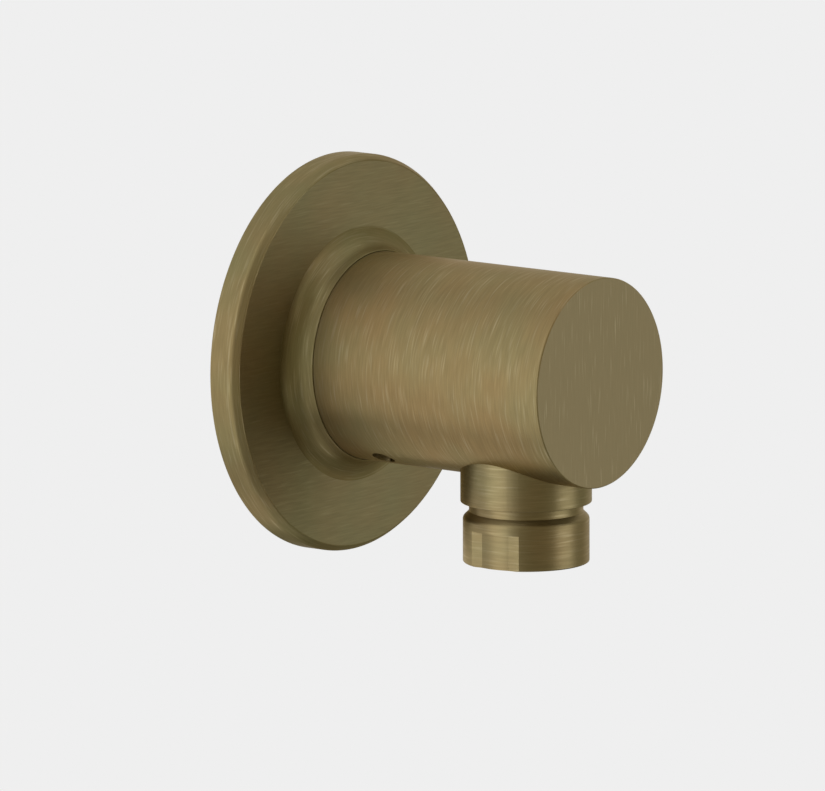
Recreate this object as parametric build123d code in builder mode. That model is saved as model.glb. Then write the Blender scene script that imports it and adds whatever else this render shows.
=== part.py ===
from build123d import *
from math import cos, radians, sin, sqrt, tan
import os

# Wall outlet elbow for a shower hose. Millimetres, +Z up.
# The origin is where the body's axis meets the wall.
# The body stands out along -Y and the outlet points down.

# Body
body_diameter = 35.0
body_reach = 55.6  # wall to front face
body_back = 3.7  # wall to rear face
body_edge = 0.15  # bevel on both end faces
body_wall = 5.45  # round the spigot
bore_overrun = 1.4  # of the body's bore past the spigot
waterway_diameter = 16.0
waterway_overrun = 6.5  # past the outlet axis
drill_point = 3.0

# Cover flange
flange_diameter = 66.8
flange_thickness = 5.45  # wall to flat front face
rim_bevel_width = 0.9
rim_bevel_depth = 1.2
rim_wall = 2.4
face_wall = 2.0
hub_reach = 9.25  # wall to hub front
hub_wall = 0.15  # at the hub's front edge
hub_gap = 0.06  # between hub and body
hub_draft = 13.0  # slope of the hub's side from the body's direction
hub_cove = 3.6  # hollow curve between the face and the hub's side
hub_round = 0.1
hub_lip = 0.05
hub_ring_section = 1.2  # squeezed O-ring between hub and body
hub_ring_width = 1.6  # groove width
hub_ring_land = 0.5  # from the hollow back to the groove
wall_seal_width = 5.0

# Wall connector
thread_diameter = 20.955  # G 1/2
thread_length = 12.0
thread_chamfer = 0.9
undercut_diameter = 18.4
washer_thickness = 1.5
washer_width = 3.0
hexagon_size = 27.0
hexagon_thickness = 2.0
spigot_reach = 26.5
spigot_chamfer = 0.6
inlet_diameter = 12.0
key_size = 12.0
key_depth = 8.0
spigot_ring_section = 1.35  # squeezed O-ring between spigot and body
spigot_ring_width = 1.9
spigot_ring_land = 1.4  # from the spigot's front end to its first groove
spigot_ring_pitch = 3.2

# Set screw
grub_diameter = 4.0
grub_recess = 2.25  # from the body's surface to the screw's end
grub_reach = 16.8
grub_angle = 28.0  # from straight down, towards -X
grub_key = 2.0
grub_key_depth = 1.8
grub_point = 1.0
grub_groove_depth = 0.8

# Outlet
outlet_reach = 40.25  # wall to outlet axis
outlet_drop = 31.4  # body axis to outlet end
barrel_diameter = 21.84
barrel_seat_cover = 1.5  # how far the barrel's seat lies above its lowest edge on the round body
port_thread_diameter = 18.0
port_thread_length = 5.2
gasket_thickness = 1.0
neck_diameter = 19.0
neck_height = 1.6
collar_taper = 1.0  # height of the slope from the neck to the collar
collar_diameter = 21.04
collar_height = 7.5  # its straight side
collar_band = 1.55  # full round part above the flats
collar_edge = 0.25
flats_size = 18.9
flats_turn = 4.0  # of the flats from the body's own direction
core_diameter = 19.6  # round core left standing between the flats
outlet_bore_diameter = 10.0
shelf_height = 5.9  # from the outlet's end to the cartridge shelf

# Non-return cartridge
valve_bore_diameter = 14.05
housing_height = 13.0
housing_wall = 1.25
seat_thickness = 3.2
seat_hole_diameter = 8.4
cartridge_ring_section = 1.0
cartridge_ring_width = 1.5
guide_thickness = 1.6
guide_rim = 1.2
guide_step = 0.45
guide_spokes = 3
guide_spoke_width = 1.4
poppet_diameter = 9.8
poppet_head = 1.2
poppet_boss_diameter = 3.8
poppet_cap_diameter = 5.6
poppet_cap_height = 1.0
stem_diameter = 2.4
stem_overrun = 0.7  # below the guide when shut
valve_seal_thickness = 1.2
spring_wire = 0.5
spring_turns = 4.5
spring_stem_gap = 0.9

# Clearances
spigot_clearance = 0.05
barrel_clearance = 0.05
ring_clearance = 0.02
hub_ring_clearance = 0.1
screw_clearance = 0.05
cartridge_clearance = 0.05
stem_clearance = 0.05
seat_clearance = 0.05
face_clearance = 0.05
soft_clearance = 0.2
cut_margin = 1.0

# Shared radii and heights
body_r = body_diameter / 2
flange_r = flange_diameter / 2
hub_bore_r = body_r + hub_gap
hub_r = hub_bore_r + hub_wall
hub_foot_r = hub_r + (hub_reach - flange_thickness) * tan(radians(hub_draft))
flange_hollow = flange_thickness - face_wall
flange_hollow_r = flange_r - rim_wall
thread_r = thread_diameter / 2
body_bore_r = body_r - body_wall
spigot_r = body_bore_r - spigot_clearance
inlet_r = inlet_diameter / 2
waterway_r = waterway_diameter / 2
barrel_r = barrel_diameter / 2
neck_r = neck_diameter / 2
collar_r = collar_diameter / 2
port_thread_r = port_thread_diameter / 2
outlet_bore_r = outlet_bore_diameter / 2
valve_bore_r = valve_bore_diameter / 2
stem_r = stem_diameter / 2
wire_r = spring_wire / 2

saddle_drop = sqrt(body_r**2 - barrel_r**2)
port_floor = barrel_seat_cover - saddle_drop
barrel_top = port_floor - gasket_thickness
nipple_top = port_floor + port_thread_length
outlet_end = -outlet_drop
collar_top = outlet_end + collar_height
neck_bottom = collar_top + collar_taper
barrel_bottom = neck_bottom + neck_height
flats_top = collar_top - collar_band
shelf = outlet_end + shelf_height

outlet_plane = Plane.XZ.offset(outlet_reach)
outlet_axis = Axis((0, -outlet_reach, 0), (0, 0, 1))
grub_direction = (-sin(radians(grub_angle)), 0, -cos(radians(grub_angle)))
grub_plane = Plane(origin=(0, -grub_reach, 0), x_dir=(0, 1, 0), z_dir=grub_direction)
grub_axis = Axis((0, -grub_reach, 0), grub_direction)


def level(height):
    """Horizontal plane on the outlet axis at a height above the body axis."""
    return Plane.XY.move(Location((0, -outlet_reach, height)))


# Round body, blind at the front
bore_end = spigot_reach + bore_overrun
waterway_end = outlet_reach + waterway_overrun
with BuildPart() as elbow_body:
    with BuildSketch(Plane.XY):
        with BuildLine():
            Polyline(
                (body_bore_r, -body_back),
                (body_r - body_edge, -body_back),
                (body_r, -body_back - body_edge),
                (body_r, body_edge - body_reach),
                (body_r - body_edge, -body_reach),
                (0, -body_reach),
                (0, -waterway_end - drill_point),
                (waterway_r, -waterway_end),
                (waterway_r, -bore_end),
                (body_bore_r, -bore_end),
                close=True,
            )
        make_face()
    revolve(axis=Axis.Y)
    with BuildSketch(level(port_floor)):
        Circle(barrel_r + barrel_clearance)
    extrude(amount=-(body_r + port_floor + cut_margin), mode=Mode.SUBTRACT)
    with BuildSketch(level(port_floor)):
        Circle(port_thread_r + screw_clearance)
    extrude(amount=port_thread_length + face_clearance, mode=Mode.SUBTRACT)
    with BuildSketch(level(port_floor)):
        Circle(valve_bore_r)
    extrude(amount=-port_floor, mode=Mode.SUBTRACT)
    with BuildSketch(grub_plane):
        Circle(grub_diameter / 2)
    extrude(amount=body_r + cut_margin, mode=Mode.SUBTRACT)
elbow_body.part.label = "elbow_body"

# Cover flange with a bevelled rim, a conical hub with a cove at its foot, and a hollow back
hub_ring_back = flange_hollow + hub_ring_land
hub_ring_front = hub_ring_back + hub_ring_width
hub_ring_r = body_r + hub_ring_clearance + hub_ring_section / 2
hub_groove_r = hub_ring_r + hub_ring_section / 2 + ring_clearance
hub_turn = 90 - hub_draft  # from the hub's side to the face
cove_run = hub_cove * tan(radians(hub_turn / 2))
round_run = hub_round * tan(radians(hub_turn / 2))
with BuildPart() as wall_flange:
    with BuildSketch(Plane.XY):
        with BuildLine():
            Polyline(
                (hub_foot_r + cove_run, -flange_thickness),
                (flange_r - rim_bevel_width, -flange_thickness),
                (flange_r, rim_bevel_depth - flange_thickness),
                (flange_r, 0),
                (flange_hollow_r, 0),
                (flange_hollow_r, -flange_hollow),
                (hub_bore_r, -flange_hollow),
                (hub_bore_r, -hub_ring_back),
                (hub_groove_r, -hub_ring_back),
                (hub_groove_r, -hub_ring_front),
                (hub_bore_r, -hub_ring_front),
                (hub_bore_r, hub_lip - hub_reach),
                (hub_bore_r + hub_lip, -hub_reach),
                (hub_r - round_run, -hub_reach),
            )
            hub_edge = CenterArc((hub_r - round_run, hub_round - hub_reach), hub_round, -90, hub_turn)
            cove_center = (hub_foot_r + cove_run, -flange_thickness - hub_cove)
            cove = CenterArc(cove_center, hub_cove, 180 - hub_draft, -hub_turn)
            Line(hub_edge @ 1, cove @ 0)
        make_face()
    revolve(axis=Axis.Y)
wall_flange.part.label = "wall_flange"

# Soft ring in the flange's hollow back
with BuildPart() as wall_seal:
    with BuildSketch(Plane.XZ):
        Circle(flange_hollow_r - soft_clearance)
        Circle(flange_hollow_r - soft_clearance - wall_seal_width, mode=Mode.SUBTRACT)
    extrude(amount=flange_hollow)
wall_seal.part.label = "wall_seal"

# O-ring between hub and body
with BuildPart() as hub_o_ring:
    with BuildSketch(Plane.XY):
        with Locations((hub_ring_r, -(hub_ring_back + hub_ring_front) / 2)):
            Circle(hub_ring_section / 2)
    revolve(axis=Axis.Y)
hub_o_ring.part.label = "hub_o_ring"

# Wall connector: pipe thread, hexagon and spigot with ring grooves
front_groove = spigot_reach - spigot_ring_land - spigot_ring_width / 2
rear_groove = front_groove - spigot_ring_pitch
ring_groove_r = body_bore_r - spigot_ring_section - 2 * ring_clearance
grub_groove_r = spigot_r - grub_groove_depth
grub_floor = grub_diameter / 2 - grub_point + soft_clearance
grub_mouth = grub_floor + grub_groove_depth
with BuildPart() as wall_nipple:
    with BuildSketch(Plane.XY):
        with BuildLine():
            Polyline(
                (0, thread_length + thread_chamfer),
                (thread_r - thread_chamfer, thread_length + thread_chamfer),
                (thread_r, thread_length),
                (thread_r, 0),
                (undercut_diameter / 2, 0),
                (undercut_diameter / 2, -washer_thickness),
                (spigot_r, -washer_thickness),
                (spigot_r, -spigot_reach + spigot_chamfer),
                (spigot_r - spigot_chamfer, -spigot_reach),
                (0, -spigot_reach),
                close=True,
            )
        make_face()
    revolve(axis=Axis.Y)
    with BuildSketch(Plane.XZ.offset(washer_thickness)):
        RegularPolygon(hexagon_size / 2, 6, major_radius=False)
    extrude(amount=hexagon_thickness)
    for groove in (front_groove, rear_groove):
        with BuildSketch(Plane.XZ.offset(groove)):
            Circle(spigot_r + cut_margin)
            Circle(ring_groove_r, mode=Mode.SUBTRACT)
        extrude(amount=spigot_ring_width / 2, both=True, mode=Mode.SUBTRACT)
    with BuildSketch(Plane.XY):
        with BuildLine():
            Polyline(
                (spigot_r, grub_mouth - grub_reach),
                (grub_groove_r, grub_floor - grub_reach),
                (grub_groove_r, -grub_floor - grub_reach),
                (spigot_r, -grub_mouth - grub_reach),
                close=True,
            )
        make_face()
    revolve(axis=Axis.Y, mode=Mode.SUBTRACT)
    with BuildSketch(Plane.XZ.offset(spigot_reach)):
        Circle(inlet_r)
    extrude(amount=-(spigot_reach + thread_length + thread_chamfer), mode=Mode.SUBTRACT)
    with BuildSketch(Plane.XZ.offset(spigot_reach)):
        RegularPolygon(key_size / 2, 6, major_radius=False)
    extrude(amount=-key_depth, mode=Mode.SUBTRACT)
wall_nipple.part.label = "wall_nipple"

# Fibre washer behind the connector's hexagon
with BuildPart() as nipple_washer:
    with BuildSketch(Plane.XZ):
        Circle(thread_r + face_clearance + washer_width)
        Circle(thread_r + face_clearance, mode=Mode.SUBTRACT)
    extrude(amount=washer_thickness)
nipple_washer.part.label = "nipple_washer"

# O-rings that seal the body on the spigot
spigot_rings = {}
for name, groove in (("spigot_o_ring_front", front_groove), ("spigot_o_ring_rear", rear_groove)):
    with BuildPart() as spigot_o_ring:
        with BuildSketch(Plane.XY):
            with Locations((ring_groove_r + ring_clearance + spigot_ring_section / 2, -groove)):
                Circle(spigot_ring_section / 2)
        revolve(axis=Axis.Y)
    spigot_o_ring.part.label = name
    spigot_rings[name] = spigot_o_ring

# Set screw, its point in the spigot's groove
grub_start = grub_groove_r + face_clearance
grub_end = body_r - grub_recess
with BuildPart() as grub_screw:
    with BuildSketch(grub_plane.offset(grub_start)):
        Circle(grub_diameter / 2 - screw_clearance)
    extrude(amount=grub_end - grub_start)
    chamfer(grub_screw.edges().filter_by(GeomType.CIRCLE).sort_by(grub_axis)[0], grub_point)
    with BuildSketch(grub_plane.offset(grub_end)):
        RegularPolygon(grub_key / 2, 6, major_radius=False)
    extrude(amount=-grub_key_depth, mode=Mode.SUBTRACT)
grub_screw.part.label = "grub_screw"

# Turned outlet: thread, barrel, neck and collar with two flats
with BuildPart() as outlet_nipple:
    with BuildSketch(outlet_plane):
        with BuildLine():
            Polyline(
                (valve_bore_r, nipple_top),
                (port_thread_r, nipple_top),
                (port_thread_r, barrel_top),
                (barrel_r, barrel_top),
                (barrel_r, barrel_bottom),
                (neck_r, barrel_bottom),
                (neck_r, neck_bottom),
                (collar_r, collar_top),
                (collar_r, outlet_end + collar_edge),
                (collar_r - collar_edge, outlet_end),
                (outlet_bore_r + collar_edge, outlet_end),
                (outlet_bore_r, outlet_end + collar_edge),
                (outlet_bore_r, shelf),
                (valve_bore_r, shelf),
                close=True,
            )
        make_face()
    revolve(axis=outlet_axis)
    with BuildSketch(level(flats_top).rotated((0, 0, flats_turn))):
        Circle(collar_r + cut_margin)
        Rectangle(flats_size, 2 * (collar_r + 2 * cut_margin), mode=Mode.SUBTRACT)
        Circle(core_diameter / 2, mode=Mode.SUBTRACT)
    extrude(amount=outlet_end - flats_top - cut_margin, mode=Mode.SUBTRACT)
outlet_nipple.part.label = "outlet_nipple"

# Flat ring between the outlet and its seat
with BuildPart() as outlet_gasket:
    with BuildSketch(level(barrel_top)):
        Circle(barrel_r - soft_clearance)
        Circle(port_thread_r + soft_clearance, mode=Mode.SUBTRACT)
    extrude(amount=gasket_thickness)
outlet_gasket.part.label = "outlet_gasket"

# Cartridge housing with its seat facing down
housing_r = valve_bore_r - cartridge_clearance
chamber_r = housing_r - housing_wall
housing_top = shelf + housing_height
seat_face = housing_top - seat_thickness
guide_seat_r = chamber_r + guide_step
guide_top = shelf + guide_thickness
cartridge_ring_r = valve_bore_r - ring_clearance - cartridge_ring_section / 2
cartridge_groove_r = cartridge_ring_r - cartridge_ring_section / 2 - ring_clearance
cartridge_ring_top = (housing_top + seat_face + cartridge_ring_width) / 2
cartridge_ring_bottom = cartridge_ring_top - cartridge_ring_width
with BuildPart() as valve_housing:
    with BuildSketch(outlet_plane):
        with BuildLine():
            Polyline(
                (seat_hole_diameter / 2, housing_top),
                (housing_r, housing_top),
                (housing_r, cartridge_ring_top),
                (cartridge_groove_r, cartridge_ring_top),
                (cartridge_groove_r, cartridge_ring_bottom),
                (housing_r, cartridge_ring_bottom),
                (housing_r, shelf),
                (guide_seat_r, shelf),
                (guide_seat_r, guide_top),
                (chamber_r, guide_top),
                (chamber_r, seat_face),
                (seat_hole_diameter / 2, seat_face),
                close=True,
            )
        make_face()
    revolve(axis=outlet_axis)
valve_housing.part.label = "valve_housing"

# O-ring round the cartridge
with BuildPart() as cartridge_o_ring:
    with BuildSketch(outlet_plane):
        with Locations((cartridge_ring_r, (cartridge_ring_top + cartridge_ring_bottom) / 2)):
            Circle(cartridge_ring_section / 2)
    revolve(axis=outlet_axis)
cartridge_o_ring.part.label = "cartridge_o_ring"

# Poppet with a cap for its seal and a stem, shut against the seat
seal_top = seat_face - seat_clearance
head_top = seal_top - valve_seal_thickness
head_bottom = head_top - poppet_head
stem_bottom = shelf - stem_overrun
with BuildPart() as valve_poppet:
    with BuildSketch(outlet_plane):
        with BuildLine():
            Polyline(
                (0, seal_top + poppet_cap_height),
                (poppet_boss_diameter / 2, seal_top + poppet_cap_height),
                (poppet_cap_diameter / 2, seal_top),
                (poppet_boss_diameter / 2, seal_top),
                (poppet_boss_diameter / 2, head_top),
                (poppet_diameter / 2, head_top),
                (poppet_diameter / 2, head_bottom),
                (stem_r, head_bottom),
                (stem_r, stem_bottom),
                (0, stem_bottom),
                close=True,
            )
        make_face()
    revolve(axis=outlet_axis)
valve_poppet.part.label = "valve_poppet"

# Rubber ring on the poppet
with BuildPart() as valve_seal:
    with BuildSketch(level(head_top)):
        Circle(poppet_diameter / 2)
        Circle(poppet_boss_diameter / 2 + ring_clearance, mode=Mode.SUBTRACT)
    extrude(amount=valve_seal_thickness)
valve_seal.part.label = "valve_seal"

# Spoked guide that carries the stem and the spring
coil_r = stem_r + spring_stem_gap + wire_r
guide_hub_r = coil_r + spring_wire
guide_r = guide_seat_r - cartridge_clearance
with BuildPart() as valve_guide:
    with BuildSketch(level(shelf)):
        Circle(guide_r)
        Circle(guide_r - guide_rim, mode=Mode.SUBTRACT)
        Circle(guide_hub_r)
        with PolarLocations((guide_hub_r + guide_r - guide_rim) / 2, guide_spokes):
            Rectangle(guide_r - guide_hub_r, guide_spoke_width)
        Circle(stem_r + stem_clearance, mode=Mode.SUBTRACT)
    extrude(amount=guide_thickness - face_clearance)
valve_guide.part.label = "valve_guide"

# Coil spring between guide and poppet
coil_bottom = guide_top + wire_r
coil_height = head_bottom - face_clearance - wire_r - coil_bottom
with BuildPart() as valve_spring:
    with BuildLine() as coil:
        Helix(coil_height / spring_turns, coil_height, coil_r, center=(0, -outlet_reach, coil_bottom))
    with BuildSketch(Plane(origin=coil.line @ 0, z_dir=coil.line % 0)):
        Circle(wire_r)
    sweep(path=coil.line, is_frenet=True)
valve_spring.part.label = "valve_spring"

os.makedirs("parts", exist_ok=True)
export_step(elbow_body.part, "parts/elbow_body.step")
export_step(wall_flange.part, "parts/wall_flange.step")
export_step(wall_seal.part, "parts/wall_seal.step")
export_step(hub_o_ring.part, "parts/hub_o_ring.step")
export_step(wall_nipple.part, "parts/wall_nipple.step")
export_step(nipple_washer.part, "parts/nipple_washer.step")
for name, spigot_o_ring in spigot_rings.items():
    export_step(spigot_o_ring.part, f"parts/{name}.step")
export_step(grub_screw.part, "parts/grub_screw.step")
export_step(outlet_nipple.part, "parts/outlet_nipple.step")
export_step(outlet_gasket.part, "parts/outlet_gasket.step")
export_step(valve_housing.part, "parts/valve_housing.step")
export_step(cartridge_o_ring.part, "parts/cartridge_o_ring.step")
export_step(valve_poppet.part, "parts/valve_poppet.step")
export_step(valve_seal.part, "parts/valve_seal.step")
export_step(valve_guide.part, "parts/valve_guide.step")
export_step(valve_spring.part, "parts/valve_spring.step")
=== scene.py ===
from math import atan2, cos, pi, radians, sin, tan

import bmesh
import bpy
import numpy as np
from mathutils import Matrix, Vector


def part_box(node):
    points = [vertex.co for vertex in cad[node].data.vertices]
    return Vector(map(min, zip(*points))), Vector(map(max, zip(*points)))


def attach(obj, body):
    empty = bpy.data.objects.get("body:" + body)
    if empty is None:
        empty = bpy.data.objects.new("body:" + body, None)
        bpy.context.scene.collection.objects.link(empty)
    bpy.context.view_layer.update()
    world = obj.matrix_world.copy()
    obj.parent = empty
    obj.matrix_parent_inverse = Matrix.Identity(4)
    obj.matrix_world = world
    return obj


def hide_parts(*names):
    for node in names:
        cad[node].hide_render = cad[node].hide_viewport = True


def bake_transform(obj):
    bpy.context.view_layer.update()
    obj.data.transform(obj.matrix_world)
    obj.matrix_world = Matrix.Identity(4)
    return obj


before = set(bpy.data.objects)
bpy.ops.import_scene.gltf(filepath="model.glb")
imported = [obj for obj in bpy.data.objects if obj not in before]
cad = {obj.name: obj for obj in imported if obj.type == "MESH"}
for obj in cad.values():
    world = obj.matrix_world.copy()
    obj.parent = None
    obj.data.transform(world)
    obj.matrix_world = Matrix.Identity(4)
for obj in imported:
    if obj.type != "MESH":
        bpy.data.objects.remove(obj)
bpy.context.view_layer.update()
scene = bpy.context.scene

# Sizes are in millimetres and become metres when a mesh is made
MM = 0.001


def corners(name):
    """Lowest and highest corner of a solid, in millimetres."""
    low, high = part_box(name)
    return np.array(low) / MM, np.array(high) / MM


def reach_of(name):
    """Distance from the wall to the middle of a solid."""
    low, high = corners(name)
    return -(low[1] + high[1]) / 2


# Cover flange
flange_low, flange_high = corners("wall_flange")
flange_r = flange_high[0]
hub_reach = -flange_low[1]
flange_thickness = 5.45
rim_bevel_width = 0.9
rim_bevel_depth = 1.2
rim_wall = 2.4
face_wall = 2.0
hub_bore_r = 17.56
hub_wall = 0.15
hub_draft = radians(13.0)
hub_cove = 3.6
hub_round = 0.1
hub_ring_width = 1.6
hub_groove_r = 18.82
seal_width = 5.0
seal_round = 0.5

# Outlet
outlet_low, outlet_high = corners("outlet_nipple")
outlet_end = outlet_low[2]
outlet_top = outlet_high[2]
outlet_reach = reach_of("outlet_nipple")
barrel_r = outlet_high[0]
barrel_top = corners("outlet_gasket")[0][2]
port_thread_r = 9.0
neck_r = 9.5
collar_r = 10.52
collar_top = outlet_end + 7.5
neck_bottom = collar_top + 1.0
barrel_bottom = neck_bottom + 1.6
flats_top = collar_top - 1.55
flats_ledge = 0.001  # height in which the collar steps back to its flats
flats_half = 9.45
flats_turn = 4.0
core_r = 9.8
outlet_bore_r = 5.0
valve_bore_r = 7.025
shelf = outlet_end + 5.9
spring_wire = 0.5
spring_turns = 4.5

# Wall connector, with the form of a G 1/2 thread
connector_low, connector_high = corners("wall_nipple")
thread_end = -connector_high[1]
thread_r = 10.4775
thread_pitch = 1.814
thread_depth = 1.162
thread_chamfer = 0.9
thread_tip = 0.94  # 1 leaves the crests and roots sharp
hexagon_side = radians(60)  # turn that one side takes up
undercut_r = 9.2
hexagon_half = connector_high[2]
hexagon_back = -corners("nipple_washer")[0][1]
hexagon_front = hexagon_back + 2.0
crown_r = 13.2
crown_depth = 1.4
crown_slope = radians(30)
spigot_r = 12.0
spigot_reach = -connector_low[1]
spigot_chamfer = 0.6
spigot_groove_r = 10.66
spigot_groove_width = 1.9
screw_groove_depth = 0.8
screw_groove_floor = 2.4
key_half = 6.0
key_depth = 8.0
inlet_r = 6.0

# Edges as the finishing wheel leaves them
crisp_edge = 0.12
machined_edge = 0.25
bevel_front_round = 0.4
bevel_side_round = 1.5
collar_round = 0.9

# Steps of one and of two degrees
full_turn = np.radians(np.arange(361.0))
coarse_turn = full_turn[::2]


def rounded(points, steps=8):
    """Outline with rounded corners: every corner (radius, reach, fillet) is cut back along both its sides by
    fillet * tan(half turn), and an arc that touches both sides fills the gap."""
    points = np.asarray(points, float)
    outline = []
    for here, last, following in zip(points, np.roll(points, 1, 0), np.roll(points, -1, 0)):
        arriving = here[:2] - last[:2]
        leaving = following[:2] - here[:2]
        arriving /= np.linalg.norm(arriving)
        leaving /= np.linalg.norm(leaving)
        turn = atan2(arriving[0] * leaving[1] - arriving[1] * leaving[0], arriving @ leaving)
        if here[2] == 0 or turn == 0:
            outline.append(here[None, :2])
            continue
        side = np.array([-arriving[1], arriving[0]]) * np.sign(turn)
        start = here[:2] - arriving * here[2] * tan(abs(turn) / 2)
        swing = np.linspace(0, abs(turn), steps + 1)[:, None]
        outline.append(start + here[2] * (np.sin(swing) * arriving + (1 - np.cos(swing)) * side))
    return np.concatenate(outline)


def closed(outline):
    """Outline that ends where it starts, as a column of radii and a column of heights."""
    loop = np.vstack([outline, outline[:1]])
    return loop[:, :1], loop[:, 1:]


def around(radius, height, turn):
    """Points round the Z axis: (radius * cos turn, radius * sin turn, height), broadcast to one grid."""
    radius, height, turn = np.broadcast_arrays(radius, height, turn)
    return np.stack([radius * np.cos(turn), radius * np.sin(turn), height], -1)


def out_from_wall(radius, reach, turn):
    """Points round the body's axis, with the reach from the wall along -Y."""
    grid = around(radius, reach, turn)
    return np.stack([grid[..., 0], -grid[..., 2], grid[..., 1]], -1)


def quads(rows, columns):
    """Four-sided faces between neighbours of a grid of vertices."""
    index = np.arange(rows * columns).reshape(rows, columns)
    return np.stack([index[:-1, :-1], index[1:, :-1], index[1:, 1:], index[:-1, 1:]], -1).reshape(-1, 4)


def piece(name, grids, materials, stands_for, which=None):
    """Smooth mesh from grids of points in millimetres, welded where they meet, in place of a solid. Which
    gives the material of every row of faces."""
    weld = 0.0001
    crease = radians(14)
    large_face_weight = 100
    points = np.concatenate([grid.reshape(-1, 3) for grid in grids]) * MM
    starts = np.cumsum([0] + [grid[..., 0].size for grid in grids])
    faces = np.concatenate([start + quads(*grid.shape[:2]) for start, grid in zip(starts, grids)])
    mesh = bpy.data.meshes.new(name)
    mesh.from_pydata(points.tolist(), [], faces.tolist())
    for finish in materials:
        mesh.materials.append(finish)
    if which is not None:
        mesh.polygons.foreach_set("material_index", np.repeat(which, len(faces) // len(which)))
    shaped = bmesh.new()
    shaped.from_mesh(mesh)
    bmesh.ops.remove_doubles(shaped, verts=shaped.verts, dist=weld * MM)
    bmesh.ops.recalc_face_normals(shaped, faces=shaped.faces)
    shaped.to_mesh(mesh)
    shaped.free()
    mesh.shade_smooth()
    mesh.set_sharp_from_angle(angle=crease)
    made = bpy.data.objects.new(name, mesh)
    scene.collection.objects.link(made)
    even = made.modifiers.new("even_faces", "WEIGHTED_NORMAL")
    even.keep_sharp = True
    even.weight = large_face_weight
    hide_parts(stands_for)
    return made


def linear(hex_colour):
    """sRGB hex to linear RGBA."""
    channels = np.array([int(hex_colour[i:i + 2], 16) for i in (1, 3, 5)]) / 255
    low, high = channels / 12.92, ((channels + 0.055) / 1.055) ** 2.4
    return (*np.where(channels <= 0.04045, low, high), 1.0)


def node(tree, kind, inputs=None, **settings):
    """Adds a node with its settings; an input is a value or another node's output."""
    made = tree.nodes.new("ShaderNode" + kind)
    for key, value in settings.items():
        setattr(made, key, value)
    for socket, value in (inputs or {}).items():
        if isinstance(value, bpy.types.NodeSocket):
            tree.links.new(value, made.inputs[socket])
        else:
            made.inputs[socket].default_value = value
    return made


def material(name, base, metallic, roughness):
    """New material with its shader set; returns the material, its node tree and the shader."""
    made = bpy.data.materials.new(name)
    made.use_nodes = True
    shader = made.node_tree.nodes["Principled BSDF"]
    shader.inputs["Base Color"].default_value = linear(base)
    shader.inputs["Metallic"].default_value = metallic
    shader.inputs["Roughness"].default_value = roughness
    return made, made.node_tree, shader


# Brushed bronze: short abrasive lines, broken and slightly wavy, under an olive to orange-brown patina. They
# stretch the sheen into soft bands. The lines are drawn about five times their real width so that they show
grain_length, grain_width = 4.2, 0.28
grain_contrast = 0.08
scratch_length, scratch_width = 6.0, 0.33
line_wander = 0.12
wander_length = 6.0
patch_size = 13.0
satin, burnished = 0.43, 0.34  # roughness of the ground and of the scratches

# Noise levels where a pattern begins and where it has its full effect
grain_start, grain_full = 0.25, 0.75
scratch_start, scratch_full = 0.56, 0.78
burnish_start, burnish_full = 0.45, 0.75
patch_start, patch_full = 0.35, 0.65

# The body's end face has less grain, and fewer scratches that stand out more
end_scratch_start = 0.62
end_wear = 0.5
end_calm = 0.7  # share of the grain that it lacks
END_TONE = "#8B7F61"
SCRATCH_TONE = "#AEA487"
EDGE_TINT = "#FFF1DA"


def turned_lines(tree, place):
    """Lines that run round the body's axis. Gives coordinates (along, along, across), where across is the
    distance from the axis less the reach from the wall, and the direction across the lines in the surface."""
    flat = node(tree, "VectorMath", {0: place, 1: (1, 0, 1)}, operation="MULTIPLY").outputs[0]
    out = node(tree, "VectorMath", {0: flat}, operation="LENGTH").outputs["Value"]
    parts = node(tree, "SeparateXYZ", {0: place}).outputs
    across = node(tree, "Math", {0: out, 1: parts["Y"]}).outputs[0]
    lines = node(tree, "CombineXYZ", {0: parts["X"], 1: parts["Z"], 2: across}).outputs[0]
    round_axis = node(tree, "VectorMath", {0: flat, 1: (0, 1, 0)}, operation="CROSS_PRODUCT").outputs[0]
    normal = node(tree, "NewGeometry").outputs["Normal"]
    tangent = node(tree, "VectorMath", {0: normal, 1: round_axis}, operation="CROSS_PRODUCT").outputs[0]
    return lines, tangent, None


def level_lines(tree, place):
    """Level lines: coordinates (along, along, across) are (X, Y, Z), and across the lines is up. The lean
    keeps that direction from being square to a level surface."""
    lean = 0.02
    return place, node(tree, "CombineXYZ", {0: lean, 2: 1.0}).outputs[0], None


def body_lines(tree, place):
    """Round lines on the side, and upright lines on the end face, which looks along -Y."""
    facing_end = -0.9
    turned, turned_tangent, _ = turned_lines(tree, place)
    parts = node(tree, "SeparateXYZ", {0: place}).outputs
    upright = node(tree, "CombineXYZ", {0: parts["Z"], 2: parts["X"]}).outputs[0]
    facing = node(tree, "SeparateXYZ", {0: node(tree, "NewGeometry").outputs["True Normal"]}).outputs["Y"]
    end = node(tree, "Math", {0: facing, 1: facing_end}, operation="LESS_THAN").outputs[0]
    lines = node(tree, "Mix", {0: end, 4: turned, 5: upright}, data_type="VECTOR").outputs[1]
    tangent = node(tree, "Mix", {0: end, 4: turned_tangent, 5: (1, 0, 0)}, data_type="VECTOR").outputs[1]
    return lines, tangent, end


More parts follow.
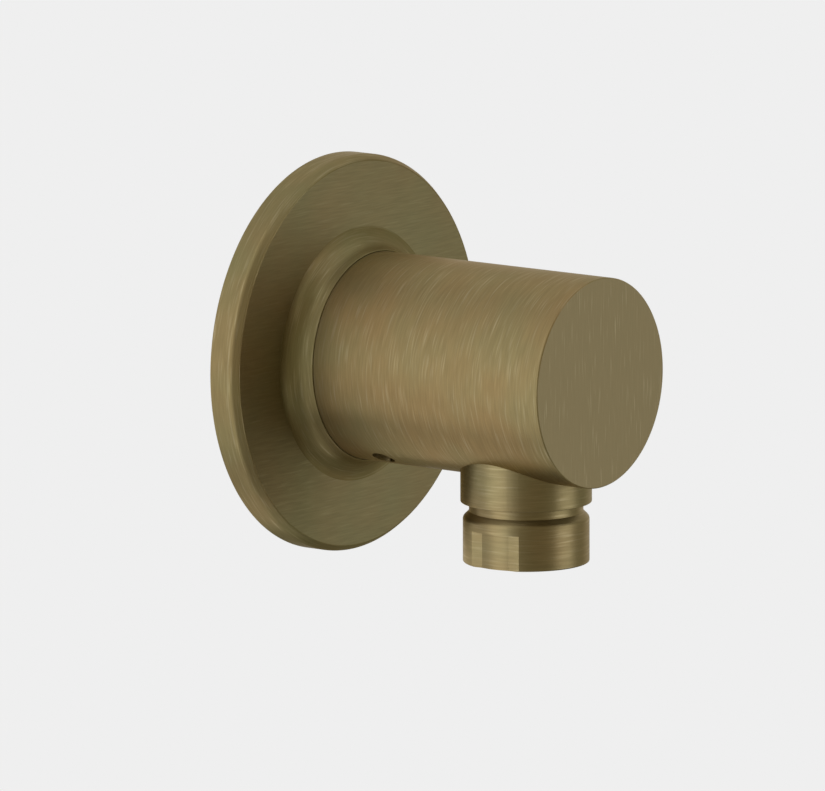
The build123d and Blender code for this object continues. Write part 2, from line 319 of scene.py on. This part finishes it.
def brushed(name, line_system, first, second, stretch=0.7, wear=0.3):
    """Satin metal whose highlight is drawn out across its brush lines. Fine grain and scattered paler
    scratches break up the sheen, and the colour drifts between two tones over about a centimetre."""
    made, tree, shader = material(name, first, metallic=1.0, roughness=satin)
    place = node(tree, "TexCoord").outputs["Object"]
    lines, tangent, end = line_system(tree, place)
    bends = {"Vector": place, "Scale": 1 / (wander_length * MM), "Detail": 1.0}
    wander = node(tree, "TexNoise", bends).outputs[0]
    shift = node(tree, "MapRange", {0: wander, 3: -line_wander * MM, 4: line_wander * MM}).outputs[0]
    sideways = node(tree, "CombineXYZ", {2: shift}).outputs[0]
    wavy = node(tree, "VectorMath", {0: lines, 1: sideways}).outputs[0]
    textures = []
    for length, width in ((grain_length, grain_width), (scratch_length, scratch_width)):
        per_metre = [1 / (size * MM) for size in (length, length, width)]
        drawn = node(tree, "VectorMath", {0: wavy, 1: per_metre}, operation="MULTIPLY").outputs[0]
        textures.append(node(tree, "TexNoise", {"Vector": drawn, "Scale": 1.0, "Detail": 1.0}).outputs[0])
    grain, scratch = textures
    patches = {"Vector": place, "Scale": 1 / (patch_size * MM), "Detail": 2.0}
    patch = node(tree, "TexNoise", patches).outputs[0]
    drift = node(tree, "MapRange", {0: patch, 1: patch_start, 2: patch_full}).outputs[0]
    tint = node(tree, "MixRGB", {0: drift, 1: linear(first), 2: linear(second)}).outputs[0]
    dark, light = 1 - grain_contrast, 1 + grain_contrast
    levels = {0: grain, 1: grain_start, 2: grain_full, 3: dark, 4: light}
    shade = node(tree, "MapRange", levels).outputs[0]
    start, most = scratch_start, wear
    if end is not None:
        tint = node(tree, "MixRGB", {0: end, 1: tint, 2: linear(END_TONE)}).outputs[0]
        calm = node(tree, "Math", {0: end, 1: end_calm}, operation="MULTIPLY").outputs[0]
        shade = node(tree, "Mix", {0: calm, 2: shade, 3: 1.0}).outputs[0]
        start = node(tree, "MapRange", {0: end, 3: scratch_start, 4: end_scratch_start}).outputs[0]
        most = node(tree, "MapRange", {0: end, 3: wear, 4: end_wear}).outputs[0]
    pale = node(tree, "MapRange", {0: scratch, 1: start, 2: scratch_full, 3: 0.0, 4: most}).outputs[0]
    tint = node(tree, "MixRGB", {0: pale, 1: tint, 2: linear(SCRATCH_TONE)}).outputs[0]
    colour = node(tree, "MixRGB", {0: 1.0, 1: tint, 2: shade}, blend_type="MULTIPLY").outputs[0]
    polish = {0: scratch, 1: burnish_start, 2: burnish_full, 3: satin, 4: burnished}
    rough = node(tree, "MapRange", polish).outputs[0]
    tree.links.new(colour, shader.inputs["Base Color"])
    tree.links.new(rough, shader.inputs["Roughness"])
    tree.links.new(tangent, shader.inputs["Tangent"])
    shader.inputs["Anisotropic"].default_value = stretch
    shader.inputs["Specular Tint"].default_value = linear(EDGE_TINT)
    return made


body_bronze = brushed("brushed_bronze_body", body_lines, "#887B56", "#8E7953")
turned_bronze = brushed("brushed_bronze_turned", turned_lines, "#807752", "#847450")
# The flat face's two tones are painted lighter than the turned bronze of the same flange. This is painted
# light that brightens the face.
face_bronze_painted_lighter = brushed("brushed_bronze_face_painted_lighter", level_lines, "#948C6B", "#988A69")
outlet_bronze = brushed("brushed_bronze_outlet", level_lines, "#827856", "#867654", stretch=0.4, wear=0.2)


def lathe_turned(name, base, roughness, ring_pitch):
    """Metal with faint rings of changing roughness round the body's axis, ring_pitch millimetres apart."""
    ring_length = 40.0
    ring_start, ring_full = 0.3, 0.7
    roughness_spread = 0.07
    stretch = 0.5
    made, tree, shader = material(name, base, metallic=1.0, roughness=roughness)
    place = node(tree, "TexCoord").outputs["Object"]
    lines, tangent, _ = turned_lines(tree, place)
    per_metre = [1 / (size * MM) for size in (ring_length, ring_length, ring_pitch)]
    drawn = node(tree, "VectorMath", {0: lines, 1: per_metre}, operation="MULTIPLY").outputs[0]
    rings = node(tree, "TexNoise", {"Vector": drawn, "Scale": 1.0, "Detail": 2.0}).outputs[0]
    smooth, dull = roughness - roughness_spread, roughness + roughness_spread
    rough = node(tree, "MapRange", {0: rings, 1: ring_start, 2: ring_full, 3: smooth, 4: dull}).outputs[0]
    tree.links.new(rough, shader.inputs["Roughness"])
    tree.links.new(tangent, shader.inputs["Tangent"])
    shader.inputs["Anisotropic"].default_value = stretch
    return made


# Turned brass: bright warm yellow, where fine tool rings catch the light in turn
brass = lathe_turned("turned_brass", "#CDA863", roughness=0.27, ring_pitch=0.24)

# Drawn stainless steel: cool grey with a soft even shine
steel = material("drawn_stainless_steel", "#B9B7B2", metallic=1.0, roughness=0.3)[0]


def moulded(name, base, roughness, grain_size, grain_height):
    """Material with a fine skin: noise bumps of one size and height scatter the light."""
    bump_strength = 0.5
    made, tree, shader = material(name, base, metallic=0.0, roughness=roughness)
    place = node(tree, "TexCoord").outputs["Object"]
    bumps = {"Vector": place, "Scale": 1 / (grain_size * MM), "Detail": 2.0}
    skin = node(tree, "TexNoise", bumps).outputs[0]
    relief = {"Height": skin, "Strength": bump_strength, "Distance": grain_height * MM}
    tree.links.new(node(tree, "Bump", relief).outputs[0], shader.inputs["Normal"])
    return made


# Moulded rubber: nearly black with a faint broad sheen
rubber = moulded("moulded_rubber", "#1B1B1C", roughness=0.55, grain_size=0.25, grain_height=0.02)

# Closed-cell foam: dark grey and quite dull, with a pitted skin
foam = moulded("closed_cell_foam", "#2B2B2C", roughness=0.9, grain_size=0.5, grain_height=0.3)

# Pressed fibre: brick red and dry, like thick card
fibre = moulded("pressed_fibre", "#8A3B30", roughness=0.75, grain_size=0.3, grain_height=0.04)

# Moulded acetal: milky white with a smooth waxy shine
acetal = moulded("moulded_acetal", "#E7E6E1", roughness=0.4, grain_size=0.4, grain_height=0.01)

rubber_rings = ("hub_o_ring", "spigot_o_ring_front", "spigot_o_ring_rear", "cartridge_o_ring")
for names, finish in (
    (("elbow_body",), body_bronze),
    (("grub_screw",), steel),
    ((*rubber_rings, "outlet_gasket", "valve_seal"), rubber),
    (("nipple_washer",), fibre),
    (("valve_housing", "valve_poppet", "valve_guide"), acetal),
):
    for name in names:
        cad[name].data.materials.clear()
        cad[name].data.materials.append(finish)


def make_flange():
    """Surface of revolution: cove up to a thin hub edge, flat face, bevel, rim, hollow back and ring groove.
    The flat face is the row of faces that follows the cove's arc."""
    hub_r = hub_bore_r + hub_wall
    hub_foot_r = hub_r + (hub_reach - flange_thickness) * tan(hub_draft)
    hollow = flange_thickness - face_wall
    hollow_r = flange_r - rim_wall
    ring_reach = reach_of("hub_o_ring")
    ring_back = ring_reach - hub_ring_width / 2
    ring_front = ring_reach + hub_ring_width / 2
    arc_steps = 16
    outline = rounded([
        (hub_foot_r, flange_thickness, hub_cove),
        (flange_r - rim_bevel_width, flange_thickness, bevel_front_round),
        (flange_r, flange_thickness - rim_bevel_depth, bevel_side_round),
        (flange_r, 0, crisp_edge),
        (hollow_r, 0, crisp_edge),
        (hollow_r, hollow, machined_edge),
        (hub_bore_r, hollow, crisp_edge),
        (hub_bore_r, ring_back, 0),
        (hub_groove_r, ring_back, 0),
        (hub_groove_r, ring_front, 0),
        (hub_bore_r, ring_front, 0),
        (hub_bore_r, hub_reach, hub_round / 2),
        (hub_r, hub_reach, hub_round),
    ], arc_steps)
    face_row = arc_steps
    which = (np.arange(len(outline)) == face_row).astype(np.int32)
    grid = out_from_wall(*closed(outline), full_turn)
    finishes = [turned_bronze, face_bronze_painted_lighter]
    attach(piece("cover_flange", [grid], finishes, "wall_flange", which), "flange")


def make_outlet():
    """Surface of revolution whose collar is cut back below its full round band to the larger of the core's
    radius and flats_half / cos(turn from the flat's middle)."""
    radius, height = closed(rounded([
        (valve_bore_r, outlet_top, machined_edge),
        (port_thread_r, outlet_top, machined_edge),
        (port_thread_r, barrel_top, 0),
        (barrel_r, barrel_top, crisp_edge),
        (barrel_r, barrel_bottom, crisp_edge),
        (neck_r, barrel_bottom, crisp_edge),
        (neck_r, neck_bottom, crisp_edge),
        (collar_r, collar_top, collar_round),
        (collar_r, flats_top, 0),
        (collar_r, flats_top - flats_ledge, 0),
        (collar_r, outlet_end, machined_edge),
        (outlet_bore_r, outlet_end, machined_edge),
        (outlet_bore_r, shelf, 0),
        (valve_bore_r, shelf, 0),
    ]))

    # Columns of vertices that run along the edges of the two flats
    edges = np.arccos([flats_half / core_r, flats_half / collar_r])
    sides = radians(flats_turn) + np.array([0, pi])[:, None]
    flat_edges = np.concatenate([sides - edges, sides + edges], None) % (2 * pi)
    turn = np.sort(np.concatenate([coarse_turn, flat_edges]))

    flat = flats_half / np.maximum(np.abs(np.cos(turn - radians(flats_turn))), flats_half / barrel_r)
    cut = np.minimum(radius, np.maximum(core_r, flat))
    radius = np.where(height < flats_top - flats_ledge / 2, cut, radius)
    grid = around(radius, height, turn) + np.array([0, -outlet_reach, 0])
    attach(piece("hose_nipple", [grid], [outlet_bronze], "outlet_nipple"), "elbow")


def thread_radius(reach, turn):
    """Pipe thread: a triangle wave with rounded tips, one pitch per turn, kept inside the end's chamfer."""
    past_end = reach - thread_end
    wave = np.arcsin(thread_tip * np.cos(2 * pi * past_end / thread_pitch - turn)) / np.arcsin(thread_tip)
    return np.minimum(thread_r - thread_depth * (1 - wave) / 2, thread_r - thread_chamfer + past_end)


def groove(reach, width, floor, radius, edge):
    """Corners of a square ring groove cut into a round side."""
    back, front = reach - width / 2, reach + width / 2
    return [(radius, back, edge), (floor, back, edge), (floor, front, edge), (radius, front, edge)]


def make_connector():
    """Thread as one long strip a pitch wide that winds from the end to the wall. From the wall on, rings: a
    hexagon with its corners turned down, the spigot with its grooves, the key socket and the bore."""
    flank_steps = 8
    crown_steps = 12
    spare_turns = 2  # at both ends, where the strip is clipped to the thread's length
    across = np.linspace(0, 1, 2 * flank_steps + 1)[:, None]
    turns = int(-thread_end / thread_pitch) + 1 + spare_turns
    along = np.concatenate([coarse_turn[:-1] + 2 * pi * turn for turn in range(turns)])
    reach = np.clip(thread_end + thread_pitch * (along / (2 * pi) - 1 + across), thread_end, 0)
    thread = out_from_wall(thread_radius(reach, along), reach, along)

    corner = 1 / np.cos(coarse_turn % hexagon_side - hexagon_side / 2)
    crown = np.linspace(crown_depth, 0, crown_steps)[:, None]
    key_floor = spigot_reach - key_depth
    screw = reach_of("grub_screw")
    screw_mouth = screw_groove_floor / 2 + screw_groove_depth
    rear, front = reach_of("spigot_o_ring_rear"), reach_of("spigot_o_ring_front")
    spigot = rounded([
        (spigot_r, hexagon_front, 0),
        (spigot_r, screw - screw_mouth, crisp_edge),
        (spigot_r - screw_groove_depth, screw - screw_groove_floor / 2, crisp_edge),
        (spigot_r - screw_groove_depth, screw + screw_groove_floor / 2, crisp_edge),
        (spigot_r, screw + screw_mouth, crisp_edge),
        *groove(rear, spigot_groove_width, spigot_groove_r, spigot_r, crisp_edge),
        *groove(front, spigot_groove_width, spigot_groove_r, spigot_r, crisp_edge),
        (spigot_r, spigot_reach, spigot_chamfer),
        (key_half, spigot_reach, 0),
    ])
    rings = [
        (thread_radius(0, coarse_turn), 0),
        (undercut_r, 0),
        (undercut_r, hexagon_back),
        (hexagon_half * corner, hexagon_back),
        (np.minimum(hexagon_half * corner, crown_r + crown / tan(crown_slope)), hexagon_front - crown),
        (spigot[:-1, :1], spigot[:-1, 1:]),
        (key_half * corner, spigot_reach),
        (key_half * corner, key_floor),
        (inlet_r, key_floor),
        (inlet_r, thread_end),
        (thread_radius(thread_end, coarse_turn), thread_end),
    ]
    ring_shape = (-1, len(coarse_turn), 3)
    rest = np.vstack([out_from_wall(r, h, coarse_turn).reshape(ring_shape) for r, h in rings])
    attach(piece("pipe_connector", [thread, rest], [brass], "wall_nipple"), "elbow")


def make_foam_seal():
    """Surface of revolution of a soft rectangular strip with rounded corners."""
    low, high = corners("wall_seal")
    outer, front = high[0], -low[1]
    inner = outer - seal_width
    outline = rounded([
        (inner, 0, seal_round),
        (outer, 0, seal_round),
        (outer, front, seal_round),
        (inner, front, seal_round),
    ])
    grid = out_from_wall(*closed(outline), coarse_turn)
    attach(piece("foam_seal", [grid], [foam], "wall_seal"), "flange")


def make_spring():
    """Round wire carried along a helix: a point of the wire is the helix point plus cos(wire turn) outwards
    from the coil's axis plus sin(wire turn) upright, square to that and to the wire. The wire closes at both
    ends."""
    steps_per_turn = 60
    wire_step = 15  # degrees
    low, high = corners("valve_spring")
    wire_r = spring_wire / 2
    coil_r = high[0] - wire_r
    bottom, top = low[2] + wire_r, high[2] - wire_r
    climb = (top - bottom) / (2 * pi * spring_turns)
    tilt = atan2(climb, coil_r)
    along = np.linspace(0, 2 * pi * spring_turns, int(steps_per_turn * spring_turns))
    along = np.pad(along, 1, "edge")[:, None]
    full = np.pad(np.ones(len(along) - 2), 1)[:, None]  # 0 in the first and last row, which are points
    wire_turn = full_turn[::wire_step]
    outwards = coil_r + full * wire_r * np.cos(wire_turn)
    upright = full * wire_r * np.sin(wire_turn)
    grid = around(outwards, bottom + climb * along + upright * cos(tilt), along)
    grid += around(upright * sin(tilt), 0, along - pi / 2) + np.array([0, -outlet_reach, 0])
    spring = piece("closing_spring", [grid], [steel], "valve_spring")
    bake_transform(spring)


make_flange()
make_outlet()
make_connector()
make_foam_seal()
make_spring()

# Camera
view_azimuth = radians(-52.64)
view_elevation = radians(9.82)
view_roll = radians(-0.147)
view_distance = 2023.07
view_right = 13.213
view_up = -7.64
pixels_per_mm = 5.971
photo_width = 825
far_limit = 20.0  # metres, past the studio


def make_camera():
    """Camera on the line from the object at an azimuth from -Y and an elevation, rolled about that line and
    shifted sideways and up. Its lens is sensor_width * pixels_per_mm * distance / photo_width."""
    level = np.array([cos(view_azimuth), sin(view_azimuth), 0.0])
    out = np.array([level[1] * cos(view_elevation), -level[0] * cos(view_elevation), sin(view_elevation)])
    above = np.cross(out, level)
    right = cos(view_roll) * level + sin(view_roll) * above
    up = cos(view_roll) * above - sin(view_roll) * level
    place = (view_distance * out + view_right * right + view_up * up) * MM
    camera = bpy.data.objects.new("camera", bpy.data.cameras.new("camera"))
    camera.data.lens = camera.data.sensor_width * pixels_per_mm * view_distance / photo_width
    camera.data.clip_end = far_limit
    camera.matrix_world = Matrix(np.vstack([np.column_stack([right, up, out, place]), (0, 0, 0, 1)]).tolist())
    scene.collection.objects.link(camera)
    scene.camera = camera


make_camera()
scene.view_settings.view_transform = "Standard"

# Studio: pale surroundings, dim cloths on the camera's side and below, bright panels beside and behind
PALE = "#EFEFEF"
WHITE = "#FFFFFF"
BLACK = "#000000"
CREAM = "#FFFDE6"
STRAW = "#FFF3D0"
world = bpy.data.worlds.new("studio")
world.use_nodes = True
world.node_tree.nodes["Background"].inputs["Color"].default_value = linear(PALE)
scene.world = world


def stage_piece(name, points, faces, cloth):
    """Adds a piece of the studio, points in metres, that isn't part of the object."""
    mesh = bpy.data.meshes.new(name)
    mesh.from_pydata(points.tolist(), [], faces)
    mesh.materials.append(cloth)
    made = bpy.data.objects.new(name, mesh)
    scene.collection.objects.link(made)
    return made


def make_panel(name, azimuths, elevations, distance, colour, radiance):
    """Part of a sphere about the object between two azimuths and two elevations. It is an evenly lit cloth,
    so it gives off one radiance all over."""
    steps = 25
    azimuth = np.radians(np.linspace(*azimuths, steps))[:, None]
    elevation = np.radians(np.linspace(*elevations, steps))
    points = around(distance * np.cos(elevation), distance * np.sin(elevation), azimuth - pi / 2)
    cloth, _, shader = material(name + "_cloth", BLACK, metallic=0.0, roughness=1.0)
    shader.inputs["Specular IOR Level"].default_value = 0.0
    shader.inputs["Emission Color"].default_value = linear(colour)
    shader.inputs["Emission Strength"].default_value = radiance
    made = stage_piece(name, points.reshape(-1, 3), quads(*points.shape[:2]).tolist(), cloth)
    made.visible_camera = False


def make_floor():
    """Round pale floor well below the object that fades out towards its edge. Its underside is clear."""
    drop, fade_start, fade_end = 0.25, 0.25, 0.6  # metres
    rim = around(fade_end, -drop, full_turn[:-1])
    cloth, tree, shader = material("pale_floor", PALE, metallic=0.0, roughness=0.8)
    place = node(tree, "TexCoord").outputs["Object"]
    flat = node(tree, "VectorMath", {0: place, 1: (1, 1, 0)}, operation="MULTIPLY").outputs[0]
    far = node(tree, "VectorMath", {0: flat}, operation="LENGTH").outputs["Value"]
    ramp = {0: far, 1: fade_start, 2: fade_end, 3: 1.0, 4: 0.0}
    fade = node(tree, "MapRange", ramp, interpolation_type="SMOOTHSTEP").outputs[0]
    below = node(tree, "NewGeometry").outputs["Backfacing"]
    cover = node(tree, "Math", {0: fade, 1: below}, operation="SUBTRACT", use_clamp=True).outputs[0]
    tree.links.new(cover, shader.inputs["Alpha"])
    made = stage_piece("floor", rim, [list(range(len(rim)))], cloth)
    made.visible_glossy = False


# Azimuths from -Y and elevations in degrees, distance in metres, colour and radiance
for panel in (
    ("far_curtain", (78, 138), (-40, 43), 2.5, WHITE, 0.71),
    ("side_curtain", (9, 78), (-40, 32), 2.45, CREAM, 0.43),
    ("front_curtain", (-73, 9), (-42, 55), 2.4, STRAW, 0.385),
    ("ground_cloth", (-68, 145), (-69, -25), 2.35, CREAM, 0.27),
    ("strip_light", (-123.5, -88), (-50, 76), 2.2, WHITE, 1.93),
    ("square_light", (5, 39), (-24, 15), 2.2, WHITE, 1.75),
    ("back_light", (150, 205), (-28, 5), 2.5, WHITE, 1.25),
):
    make_panel(*panel)
make_floor()
